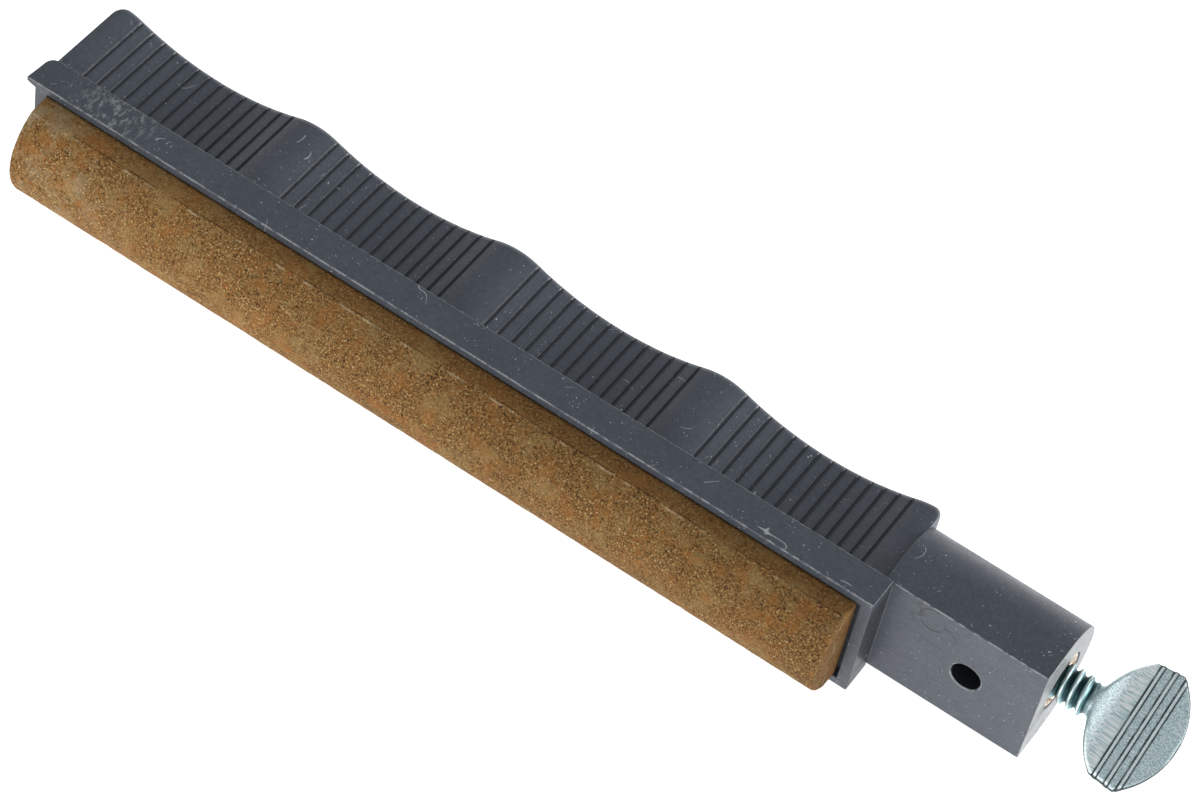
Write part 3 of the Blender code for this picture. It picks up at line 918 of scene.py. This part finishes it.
def stone_grain(tree, where, fine, cloud):
    """Grains from dark brown to straw, with rusty ones, pits, bright grains and patches."""
    medium = clouds(tree, where, 2300.0, 3.0, 0.75)
    colour = ramp(tree, fine, [(0.32, (0.035, 0.015, 0.005)), (0.44, (0.155, 0.076, 0.022)),
                               (0.56, (0.255, 0.142, 0.047)), (0.68, (0.56, 0.40, 0.19))])
    rust = times(tree, band(tree, medium, (0.52, 0.0), (0.62, 1.0)),
                 band(tree, cloud, (0.42, 0.15), (0.6, 0.9)))
    pits = times(tree, band(tree, cells(tree, where, 1700.0), (0.2, 1.0), (0.38, 0.0)),
                 band(tree, medium, (0.42, 1.0), (0.54, 0.0)), 0.8)
    bright = times(tree, band(tree, cells(tree, moved(tree, where, (1.0, 1.07, 0.94)), 2900.0),
                              (0.14, 1.0), (0.3, 0.0)),
                   band(tree, medium, (0.5, 0.0), (0.6, 0.9)))
    tan = band(tree, clouds(tree, where, 330.0, 5.0, 0.7), (0.5, 0.0), (0.62, 0.45))
    orange = band(tree, clouds(tree, moved(tree, where, (390.0, 410.0, 400.0)), 1.0, 5.0, 0.7),
                  (0.52, 0.0), (0.64, 0.5))
    for mask, tint in ((rust, (0.24, 0.085, 0.018)), (pits, (0.03, 0.013, 0.006)),
                       (bright, (0.72, 0.56, 0.33)), (tan, (0.31, 0.220, 0.095)),
                       (orange, (0.30, 0.115, 0.026))):
        colour = mix(tree, mask, colour, tint)
    return colour


def stone_look():
    material, tree, shader = new_material("stone_abrasive")
    where, x, _, z = hone_axes(tree)
    fine = clouds(tree, where, 4600.0, 2.0, 0.85)
    cloud = clouds(tree, where, 260.0, 5.0, 0.65)
    broad = clouds(tree, where, 60.0, 3.0, 0.5)
    colour = stone_grain(tree, where, fine, cloud)
    for shades, dark, light in ((cloud, (0.86, 0.82, 0.78), (1.12, 1.12, 1.12)),
                                (broad, (0.9, 0.88, 0.84), (1.08, 1.08, 1.1))):
        colour = tinted(tree, colour, ramp(tree, shades, [(0.3, dark), (0.7, light)]))

    along = maths(tree, "DIVIDE", x, STONE_END - STONE_START)
    left = minus(tree, 1.0, along)
    seam = plus(tree, times(tree, left, left, STONE_TAPER), STONE_WALL)
    past_seam = minus(tree, times(tree, z, -1.0), seam)
    wall = band(tree, plus(tree, past_seam, 0.5), (0.4, 1.0), (0.55, 0.0))
    colour = mix(tree, times(tree, wall, 0.25), colour, (0.34, 0.16, 0.045))
    crease = times(tree, near(tree, away(tree, past_seam, 0.0), 0.12),
                   band(tree, clouds(tree, where, 300.0, 3.0), (0.42, 0.0), (0.6, 1.0)))
    colour = mix(tree, crease, colour, (0.055, 0.022, 0.007))
    fade = ramp(tree, along, [(0.0, (1.16, 1.16, 1.08)), (1.0, (0.81, 0.80, 0.72))])
    colour = tinted(tree, colour, fade)
    # A pale band along the crown, just past the seam: a painted highlight on that edge.
    seam_highlight = times(tree, near(tree, away(tree, past_seam, 0.24), 0.14),
                 band(tree, clouds(tree, where, 420.0, 3.0), (0.5, 0.0), (0.62, 0.7)))
    colour = mix(tree, seam_highlight, colour, (0.60, 0.46, 0.28))
    rubbed = times(tree, band(tree, along, (0.02, 1.0), (0.2, 0.0)),
                   band(tree, clouds(tree, where, 230.0, 6.0, 0.75), (0.50, 0.0), (0.64, 1.0)), 0.6)
    colour = mix(tree, rubbed, colour, (0.40, 0.33, 0.20))
    link(tree, colour, shader.inputs["Base Color"])
    shader.inputs["Roughness"].default_value = 0.9
    shader.inputs["Specular IOR Level"].default_value = 0.25
    link(tree, bump(tree, fine, 0.6, 0.0003, bump(tree, cloud, 0.25, 0.0004)), shader.inputs["Normal"])
    return material


# ---------------------------------------------------------------- the metals and the adhesive

def head_rim(tree, along):
    """1 on the head's narrow edge and 0 on its faces; the edge is painted dark there, a painted dark
    reflection.
    """
    side = node(tree, "ShaderNodeVectorMath", operation="DOT_PRODUCT")
    link(tree, node(tree, "ShaderNodeTexCoord").outputs["Normal"], side.inputs[0])
    side.inputs[1].default_value = (0.0, math.sin(HEAD_TURN), -math.cos(HEAD_TURN))
    by_neck = band(tree, along, (0.3, 0.35), (0.42, 0.0))
    facing = plus(tree, maths(tree, "ABSOLUTE", side.outputs["Value"]), by_neck)
    facing = band(tree, facing, (0.65, 0.0), (0.93, 1.0))
    return times(tree, minus(tree, 1.0, facing), band(tree, along, (0.06, 0.0), (0.16, 1.0)))


def rib_masks(tree, run):
    """Painted shade in lines beside the head's ribs, and painted highlights on the ribs' tops."""
    lines, tops = [], []
    edge = RIB_HALF + RIB_FLANK
    for rib in RIBS:
        lines.append(near(tree, away(tree, run, rib - edge - 0.03), 0.16))
        lines.append(near(tree, away(tree, run, rib + edge + 0.01), 0.1))
        tops.append(near(tree, away(tree, run, rib), RIB_HALF))
    return most(tree, *lines), most(tree, *tops)


def thread_colour(tree, where, y, z):
    """Painted shade in the thread's root and a painted highlight on its crests, with turned marks."""
    scale = 0.2
    off_axis = times(tree, distance(tree, y, z, (0.0, SCREW_Z)), scale)
    thread = ramp(tree, off_axis, [(THREAD_ROOT * scale + 0.004, (0.03, 0.07, 0.075)),
                                   (THREAD_ROOT * scale + 0.035, (0.17, 0.30, 0.32)),
                                   (THREAD_CREST * scale - 0.012, (0.36, 0.54, 0.56)),
                                   (THREAD_CREST * scale - 0.001, (0.8, 0.9, 0.9))])
    marks = clouds(tree, moved(tree, where, (7000.0, 260.0, 260.0)), 1.0, 2.0)
    return tinted(tree, thread, band(tree, marks, (0.35, 0.45), (0.65, 1.5)))


def zinc():
    material, tree, shader = new_material("zinc_plate")
    where, x, y, z = hone_axes(tree)
    run = minus(tree, x, NECK)
    along = times(tree, run, 1 / HEAD_LENGTH)
    grain = clouds(tree, where, 6500.0, 2.0, 0.8)
    streak = clouds(tree, moved(tree, where, (180.0, 8200.0, 8200.0)), 1.0, 2.0)
    inner = band(tree, along, (0.06, 0.0), (0.12, 1.0), (0.38, 1.0), (0.42, 0.0))
    texture = mix(tree, inner, grain, streak)
    level = band(tree, texture, (0.36, 0.0), (0.64, 1.0))
    colour = mix(tree, level, (0.36, 0.50, 0.53), (0.90, 1.0, 1.0))
    # Darker at the neck and brighter over the inner blade: a painted broad highlight there.
    blade_highlight_ramp = ramp(tree, along, [(0.0, (0.6, 0.64, 0.65)), (0.2, (1.25, 1.22, 1.2)),
                                   (0.36, (1.3, 1.25, 1.22)), (0.42, (1.0, 1.0, 1.0))])
    colour = tinted(tree, colour, blade_highlight_ramp)

    rim = head_rim(tree, along)
    lines, tops = rib_masks(tree, run)
    # Painted highlights on the rib tops, and painted shade in lines beside the ribs, in patches.
    colour = mix(tree, band(tree, tops, (0.05, 0.0), (0.5, 0.7)), colour, (0.95, 1.0, 1.0))
    lines = band(tree, lines, (0.1, 0.0), (0.5, 1.0))
    shade_line_breakup = band(tree, clouds(tree, where, 700.0, 2.0), (0.35, 0.55), (0.55, 0.95))
    colour = mix(tree, times(tree, lines, shade_line_breakup), colour, (0.015, 0.028, 0.032))
    # The rim painted nearly black: a painted dark reflection.
    colour = mix(tree, times(tree, rim, 0.92), colour, (0.02, 0.032, 0.036))
    on_thread = band(tree, plus(tree, along, 0.5), (0.47, 1.0), (0.52, 0.0))
    colour = mix(tree, on_thread, colour, thread_colour(tree, where, y, z))
    # Painted shade in the crevices, from ambient occlusion.
    colour = mix(tree, openness(tree, 0.45, 0.35, 0.85), (0.03, 0.05, 0.055), colour)
    link(tree, colour, shader.inputs["Base Color"])

    dull = most(tree, rim, lines)
    link(tree, minus(tree, 1.0, times(tree, dull, 0.9)), shader.inputs["Metallic"])
    roughness = most(tree, band(tree, texture, (0.3, 0.40), (0.7, 0.56)), times(tree, dull, 0.95))
    link(tree, roughness, shader.inputs["Roughness"])
    link(tree, bump(tree, texture, 0.22, 0.00008), shader.inputs["Normal"])
    return material


def brass():
    material, tree, shader = new_material("insert_brass")
    where = hone_axes(tree)[0]
    spots = clouds(tree, where, 2600.0, 3.0, 0.7)
    colour = ramp(tree, spots, [(0.35, (0.10, 0.06, 0.04)), (0.47, (0.36, 0.27, 0.20)),
                                (0.56, (0.62, 0.50, 0.38)), (0.68, (0.80, 0.75, 0.68))])
    # Painted shade in the corners, from ambient occlusion.
    colour = mix(tree, openness(tree, 0.5, 0.3, 0.8), (0.02, 0.015, 0.01), colour)
    link(tree, colour, shader.inputs["Base Color"])
    shader.inputs["Metallic"].default_value = 1.0
    shader.inputs["Roughness"].default_value = 0.4
    link(tree, bump(tree, spots, 0.5, 0.00015), shader.inputs["Normal"])
    return material


def amber_film():
    material, tree, shader = new_material("adhesive_amber")
    where = hone_axes(tree)[0]
    colour = ramp(tree, clouds(tree, where, 500.0, 3.0),
                  [(0.3, (0.42, 0.33, 0.17)), (0.7, (0.58, 0.49, 0.30))])
    link(tree, colour, shader.inputs["Base Color"])
    shader.inputs["Roughness"].default_value = 0.4
    link(tree, bump(tree, clouds(tree, where, 900.0), 0.2, 0.0001), shader.inputs["Normal"])
    return material


# ---------------------------------------------------------------- the pieces

def dress(piece, material, body, replaced):
    piece.data.materials.clear()
    piece.data.materials.append(material)
    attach(piece, body)
    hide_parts(replaced)


dress(make_holder(), plastic(), "hone", "holder")
dress(make_stone(), stone_look(), "hone", "stone")
dress(make_insert(), brass(), "hone", "threaded_insert")
dress(make_screw(), zinc(), "screw", "thumbscrew")
film = frame["nodes"]["adhesive"]
film.data.materials.clear()
film.data.materials.append(amber_film())


# ---------------------------------------------------------------- floor, light and camera

def make_floor():
    bm = bmesh.new()
    bmesh.ops.create_grid(bm, x_segments=1, y_segments=1, size=3.0)
    mesh = bpy.data.meshes.new("floor")
    bm.to_mesh(mesh)
    bm.free()
    floor = bpy.data.objects.new("floor", mesh)
    floor.location.z = -0.0002
    bpy.context.scene.collection.objects.link(floor)
    material, _, shader = new_material("floor_white")
    shader.inputs["Base Color"].default_value = (0.9, 0.9, 0.9, 1.0)
    shader.inputs["Roughness"].default_value = 0.9
    shader.inputs["Emission Color"].default_value = (1.0, 1.0, 1.0, 1.0)
    shader.inputs["Emission Strength"].default_value = 0.85
    floor.data.materials.append(material)


def softbox(name, place, size, power):
    """A rectangular light that faces the hone."""
    light = bpy.data.lights.new(name, "AREA")
    light.shape = "RECTANGLE"
    light.size, light.size_y = size
    light.energy = power
    obj = bpy.data.objects.new(name, light)
    obj.location = place
    obj.rotation_euler = (-Vector(place)).to_track_quat("-Z", "Y").to_euler()
    bpy.context.scene.collection.objects.link(obj)


def make_world():
    """A soft tent: bright towards the horizon and calmer overhead."""
    world = bpy.data.worlds.new("studio")
    world.use_nodes = True
    tree = world.node_tree
    height = split(tree, node(tree, "ShaderNodeTexCoord").outputs["Generated"])[2]
    sky = ramp(tree, height, [(0.0, (0.95, 0.96, 0.97)), (0.35, (0.62, 0.64, 0.66)),
                              (1.0, (0.42, 0.44, 0.46))])
    back = tree.nodes["Background"]
    link(tree, sky, back.inputs["Color"])
    back.inputs["Strength"].default_value = 0.93
    bpy.context.scene.world = world


def make_camera():
    """The camera at the photographed angle: its axes in the frame, and how far off it stands."""
    right = Vector((0.8205, 0.5551, 0.1367))
    up = Vector((-0.5116, 0.6061, 0.6091))
    forward = Vector((-0.2553, 0.5696, -0.7812))
    turn = Matrix((right, up, -forward)).transposed()
    camera = bpy.data.objects.new("camera", bpy.data.cameras.new("camera"))
    camera.data.lens = 118.636
    camera.data.sensor_width = 36.0
    camera.data.clip_start, camera.data.clip_end = 0.01, 20.0
    camera.matrix_world = Matrix.Translation(at(172.4, -320.8, -224.7)) @ turn.to_4x4()
    bpy.context.scene.collection.objects.link(camera)
    bpy.context.scene.camera = camera


make_floor()
make_world()
softbox("right", (0.76, 0.40, 0.13), (0.5, 0.3), 8.0)
softbox("front", (0.05, -0.8, 0.16), (0.9, 0.35), 3.0)
make_camera()
bpy.context.scene.view_settings.view_transform = "Standard"
